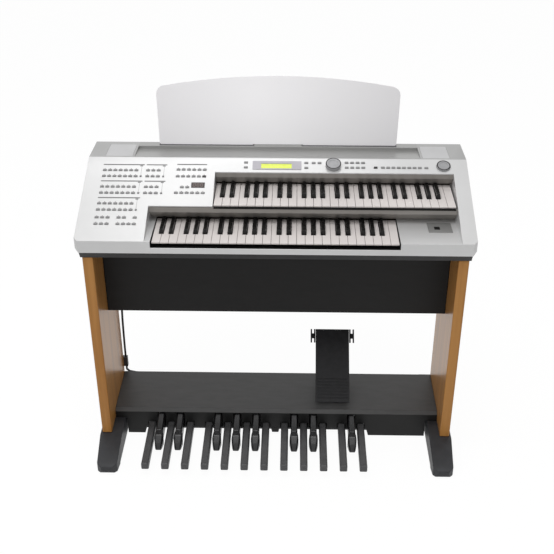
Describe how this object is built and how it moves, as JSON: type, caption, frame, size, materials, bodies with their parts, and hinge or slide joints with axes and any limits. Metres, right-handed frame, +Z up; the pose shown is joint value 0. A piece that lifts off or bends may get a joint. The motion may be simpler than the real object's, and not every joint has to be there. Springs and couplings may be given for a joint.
{
  "type": "electronic organ",
  "caption": "Electronic organ with stepped keyboards, a sloped button panel, music rest, short pedalboard and tilting foot pedal on a wood-sided stand.",
  "frame": {"origin": "the middle of the footprint, on the floor", "axes": "+X to the player's right, +Y away from the player, +Z up"},
  "size_m": [1.107, 0.575, 1.0636],
  "materials": {
    "silver": "fine metallic silver paint",
    "deck_silver": "darker metallic silver",
    "key_white": "smooth, slightly warm white",
    "key_black": "smooth black",
    "fallboard": "dark grey gloss",
    "dark_plastic": "dark grey, fine grain",
    "chassis": "dark grey powder coat",
    "frame_black": "black",
    "knee_dark": "black laminate",
    "meter_dark": "dark window",
    "speaker_black": "black",
    "dial_grey": "satin grey",
    "swell_grey": "dark grey, ribbed",
    "button_grey": "matte grey",
    "bezel": "pale lavender grey",
    "screen": "lit yellow-green",
    "translucent": "translucent white",
    "wood": "honey wood grain, satin",
    "foot_grey": "dark grey",
    "pedal_grey": "dark grey",
    "pedal_black": "black",
    "box_grey": "dark grey laminate",
    "steel": "zinc plated",
    "board_green": "green lacquer",
    "cable_black": "black sheath"
  },
  "bodies": {
    "organ_body": {"top_shell": "silver", "bottom_chassis": "chassis", "lower_fallboard": "fallboard", "upper_fallboard": "fallboard", "lower_key_frame": "frame_black", "upper_key_frame": "frame_black", "display_bezel": "bezel", "display_glass": "screen", "tempo_display": "meter_dark", "deck_plate_left": "deck_silver", "deck_plate_right": "deck_silver", "speaker_left": "speaker_black", "speaker_right": "speaker_black", "main_board": "board_green", "music_rest_holder": "dark_plastic", "slot_plate": "deck_silver", "foot_left": "foot_grey", "foot_right": "foot_grey", "side_panel_left": "wood", "side_panel_right": "wood", "kneeboard": "knee_dark", "pedal_box": "box_grey", "pedal_frame": "steel", "expression_pedal_base": "swell_grey", "pedal_cable": "cable_black", "cable_clip": "dark_plastic"},
    "lower_naturals": {"lower_naturals": "key_white"},
    "lower_sharps": {"lower_sharps": "key_black"},
    "upper_naturals": {"upper_naturals": "key_white"},
    "upper_sharps": {"upper_sharps": "key_black"},
    "voice_buttons": {"voice_buttons": "button_grey"},
    "rhythm_buttons": {"rhythm_buttons": "button_grey"},
    "menu_buttons": {"menu_buttons": "button_grey"},
    "registration_buttons": {"registration_buttons": "button_grey"},
    "data_dial": {"data_dial": "dial_grey"},
    "volume_knob": {"volume_knob": "dial_grey"},
    "music_rest": {"music_rest": "translucent"},
    "expression_pedal": {"expression_pedal": "swell_grey"},
    "foot_switch_left": {"foot_switch_left": "swell_grey"},
    "foot_switch_right": {"foot_switch_right": "swell_grey"},
    "pedal_c1": {"pedal_c1": "pedal_grey"},
    "pedal_c1_sharp": {"pedal_c1_sharp": "pedal_black"},
    "pedal_d1": {"pedal_d1": "pedal_grey"},
    "pedal_d1_sharp": {"pedal_d1_sharp": "pedal_black"},
    "pedal_e1": {"pedal_e1": "pedal_grey"},
    "pedal_f1": {"pedal_f1": "pedal_grey"},
    "pedal_f1_sharp": {"pedal_f1_sharp": "pedal_black"},
    "pedal_g1": {"pedal_g1": "pedal_grey"},
    "pedal_g1_sharp": {"pedal_g1_sharp": "pedal_black"},
    "pedal_a1": {"pedal_a1": "pedal_grey"},
    "pedal_a1_sharp": {"pedal_a1_sharp": "pedal_black"},
    "pedal_b1": {"pedal_b1": "pedal_grey"},
    "pedal_c2": {"pedal_c2": "pedal_grey"},
    "pedal_c2_sharp": {"pedal_c2_sharp": "pedal_black"},
    "pedal_d2": {"pedal_d2": "pedal_grey"},
    "pedal_d2_sharp": {"pedal_d2_sharp": "pedal_black"},
    "pedal_e2": {"pedal_e2": "pedal_grey"},
    "pedal_f2": {"pedal_f2": "pedal_grey"},
    "pedal_f2_sharp": {"pedal_f2_sharp": "pedal_black"},
    "pedal_g2": {"pedal_g2": "pedal_grey"}
  },
  "joints": [
    {"name": "lower_naturals_hinge", "type": "hinge", "parent": "organ_body", "child": "lower_naturals", "pos_m": [0, 0.0335, 0.735], "axis": [1, 0, 0], "range_deg": [0, 2.5], "stiffness_Nm_per_rad": 60, "springref_deg": -2.86},
    {"name": "lower_sharps_hinge", "type": "hinge", "parent": "organ_body", "child": "lower_sharps", "pos_m": [0, 0.0335, 0.735], "axis": [1, 0, 0], "range_deg": [0, 2.5], "stiffness_Nm_per_rad": 60, "springref_deg": -2.86},
    {"name": "upper_naturals_hinge", "type": "hinge", "parent": "organ_body", "child": "upper_naturals", "pos_m": [0, 0.1475, 0.793], "axis": [1, 0, 0], "range_deg": [0, 2.5], "stiffness_Nm_per_rad": 60, "springref_deg": -2.86},
    {"name": "upper_sharps_hinge", "type": "hinge", "parent": "organ_body", "child": "upper_sharps", "pos_m": [0, 0.1475, 0.793], "axis": [1, 0, 0], "range_deg": [0, 2.5], "stiffness_Nm_per_rad": 60, "springref_deg": -2.86},
    {"name": "pedal_c1_hinge", "type": "hinge", "parent": "organ_body", "child": "pedal_c1", "pos_m": [-0.392, 0.0715, 0.046], "axis": [1, 0, 0], "range_deg": [0, 2.2], "stiffness_Nm_per_rad": 60, "springref_deg": -2.86},
    {"name": "pedal_c1_sharp_hinge", "type": "hinge", "parent": "organ_body", "child": "pedal_c1_sharp", "pos_m": [-0.362, 0.0715, 0.046], "axis": [1, 0, 0], "range_deg": [0, 2.2], "stiffness_Nm_per_rad": 60, "springref_deg": -2.86},
    {"name": "pedal_d1_hinge", "type": "hinge", "parent": "organ_body", "child": "pedal_d1", "pos_m": [-0.332, 0.0715, 0.046], "axis": [1, 0, 0], "range_deg": [0, 2.2], "stiffness_Nm_per_rad": 60, "springref_deg": -2.86},
    {"name": "pedal_d1_sharp_hinge", "type": "hinge", "parent": "organ_body", "child": "pedal_d1_sharp", "pos_m": [-0.302, 0.0715, 0.046], "axis": [1, 0, 0], "range_deg": [0, 2.2], "stiffness_Nm_per_rad": 60, "springref_deg": -2.86},
    {"name": "pedal_e1_hinge", "type": "hinge", "parent": "organ_body", "child": "pedal_e1", "pos_m": [-0.272, 0.0715, 0.046], "axis": [1, 0, 0], "range_deg": [0, 2.2], "stiffness_Nm_per_rad": 60, "springref_deg": -2.86},
    {"name": "pedal_f1_hinge", "type": "hinge", "parent": "organ_body", "child": "pedal_f1", "pos_m": [-0.212, 0.0715, 0.046], "axis": [1, 0, 0], "range_deg": [0, 2.2], "stiffness_Nm_per_rad": 60, "springref_deg": -2.86},
    {"name": "pedal_f1_sharp_hinge", "type": "hinge", "parent": "organ_body", "child": "pedal_f1_sharp", "pos_m": [-0.182, 0.0715, 0.046], "axis": [1, 0, 0], "range_deg": [0, 2.2], "stiffness_Nm_per_rad": 60, "springref_deg": -2.86},
    {"name": "pedal_g1_hinge", "type": "hinge", "parent": "organ_body", "child": "pedal_g1", "pos_m": [-0.152, 0.0715, 0.046], "axis": [1, 0, 0], "range_deg": [0, 2.2], "stiffness_Nm_per_rad": 60, "springref_deg": -2.86},
    {"name": "pedal_g1_sharp_hinge", "type": "hinge", "parent": "organ_body", "child": "pedal_g1_sharp", "pos_m": [-0.122, 0.0715, 0.046], "axis": [1, 0, 0], "range_deg": [0, 2.2], "stiffness_Nm_per_rad": 60, "springref_deg": -2.86},
    {"name": "pedal_a1_hinge", "type": "hinge", "parent": "organ_body", "child": "pedal_a1", "pos_m": [-0.092, 0.0715, 0.046], "axis": [1, 0, 0], "range_deg": [0, 2.2], "stiffness_Nm_per_rad": 60, "springref_deg": -2.86},
    {"name": "pedal_a1_sharp_hinge", "type": "hinge", "parent": "organ_body", "child": "pedal_a1_sharp", "pos_m": [-0.062, 0.0715, 0.046], "axis": [1, 0, 0], "range_deg": [0, 2.2], "stiffness_Nm_per_rad": 60, "springref_deg": -2.86},
    {"name": "pedal_b1_hinge", "type": "hinge", "parent": "organ_body", "child": "pedal_b1", "pos_m": [-0.032, 0.0715, 0.046], "axis": [1, 0, 0], "range_deg": [0, 2.2], "stiffness_Nm_per_rad": 60, "springref_deg": -2.86},
    {"name": "pedal_c2_hinge", "type": "hinge", "parent": "organ_body", "child": "pedal_c2", "pos_m": [0.028, 0.0715, 0.046], "axis": [1, 0, 0], "range_deg": [0, 2.2], "stiffness_Nm_per_rad": 60, "springref_deg": -2.86},
    {"name": "pedal_c2_sharp_hinge", "type": "hinge", "parent": "organ_body", "child": "pedal_c2_sharp", "pos_m": [0.058, 0.0715, 0.046], "axis": [1, 0, 0], "range_deg": [0, 2.2], "stiffness_Nm_per_rad": 60, "springref_deg": -2.86},
    {"name": "pedal_d2_hinge", "type": "hinge", "parent": "organ_body", "child": "pedal_d2", "pos_m": [0.088, 0.0715, 0.046], "axis": [1, 0, 0], "range_deg": [0, 2.2], "stiffness_Nm_per_rad": 60, "springref_deg": -2.86},
    {"name": "pedal_d2_sharp_hinge", "type": "hinge", "parent": "organ_body", "child": "pedal_d2_sharp", "pos_m": [0.118, 0.0715, 0.046], "axis": [1, 0, 0], "range_deg": [0, 2.2], "stiffness_Nm_per_rad": 60, "springref_deg": -2.86},
    {"name": "pedal_e2_hinge", "type": "hinge", "parent": "organ_body", "child": "pedal_e2", "pos_m": [0.148, 0.0715, 0.046], "axis": [1, 0, 0], "range_deg": [0, 2.2], "stiffness_Nm_per_rad": 60, "springref_deg": -2.86},
    {"name": "pedal_f2_hinge", "type": "hinge", "parent": "organ_body", "child": "pedal_f2", "pos_m": [0.208, 0.0715, 0.046], "axis": [1, 0, 0], "range_deg": [0, 2.2], "stiffness_Nm_per_rad": 60, "springref_deg": -2.86},
    {"name": "pedal_f2_sharp_hinge", "type": "hinge", "parent": "organ_body", "child": "pedal_f2_sharp", "pos_m": [0.238, 0.0715, 0.046], "axis": [1, 0, 0], "range_deg": [0, 2.2], "stiffness_Nm_per_rad": 60, "springref_deg": -2.86},
    {"name": "pedal_g2_hinge", "type": "hinge", "parent": "organ_body", "child": "pedal_g2", "pos_m": [0.268, 0.0715, 0.046], "axis": [1, 0, 0], "range_deg": [0, 2.2], "stiffness_Nm_per_rad": 60, "springref_deg": -2.86},
    {"name": "voice_buttons_press", "type": "slide", "parent": "organ_body", "child": "voice_buttons", "axis": [0, 0.3518, -0.9361], "range_m": [0, 0.0008], "stiffness_N_per_m": 2000, "springref_m": -0.002},
    {"name": "rhythm_buttons_press", "type": "slide", "parent": "organ_body", "child": "rhythm_buttons", "axis": [0, 0.3518, -0.9361], "range_m": [0, 0.0008], "stiffness_N_per_m": 2000, "springref_m": -0.002},
    {"name": "menu_buttons_press", "type": "slide", "parent": "organ_body", "child": "menu_buttons", "axis": [0, 0.3518, -0.9361], "range_m": [0, 0.0008], "stiffness_N_per_m": 2000, "springref_m": -0.002},
    {"name": "registration_buttons_press", "type": "slide", "parent": "organ_body", "child": "registration_buttons", "axis": [0, 0.3518, -0.9361], "range_m": [0, 0.0008], "stiffness_N_per_m": 2000, "springref_m": -0.002},
    {"name": "data_dial_spin", "type": "hinge", "parent": "organ_body", "child": "data_dial", "pos_m": [0.164, 0.09563, 0.85879], "axis": [0, -0.3518, 0.9361], "continuous": true},
    {"name": "volume_knob_turn", "type": "hinge", "parent": "organ_body", "child": "volume_knob", "pos_m": [0.484, 0.09657, 0.85915], "axis": [0, -0.3518, 0.9361], "range_deg": [-140, 140]},
    {"name": "music_rest_lift", "type": "slide", "parent": "organ_body", "child": "music_rest", "axis": [0, 0.2588, 0.9659], "range_m": [0, 0.03]},
    {"name": "expression_pedal_tilt", "type": "hinge", "parent": "organ_body", "child": "expression_pedal", "pos_m": [0.1785, 0.0295, 0.187], "axis": [-1, 0, 0], "range_deg": [0, 20]},
    {"name": "foot_switch_left_rock", "type": "hinge", "parent": "expression_pedal", "child": "foot_switch_left", "pos_m": [0.1221, 0.09549, 0.25894], "axis": [0, 0.7547, 0.6561], "range_deg": [-8, 8], "stiffness_Nm_per_rad": 0.5},
    {"name": "foot_switch_right_rock", "type": "hinge", "parent": "expression_pedal", "child": "foot_switch_right", "pos_m": [0.2349, 0.09549, 0.25894], "axis": [0, 0.7547, 0.6561], "range_deg": [-8, 8], "stiffness_Nm_per_rad": 0.5}
  ]
}
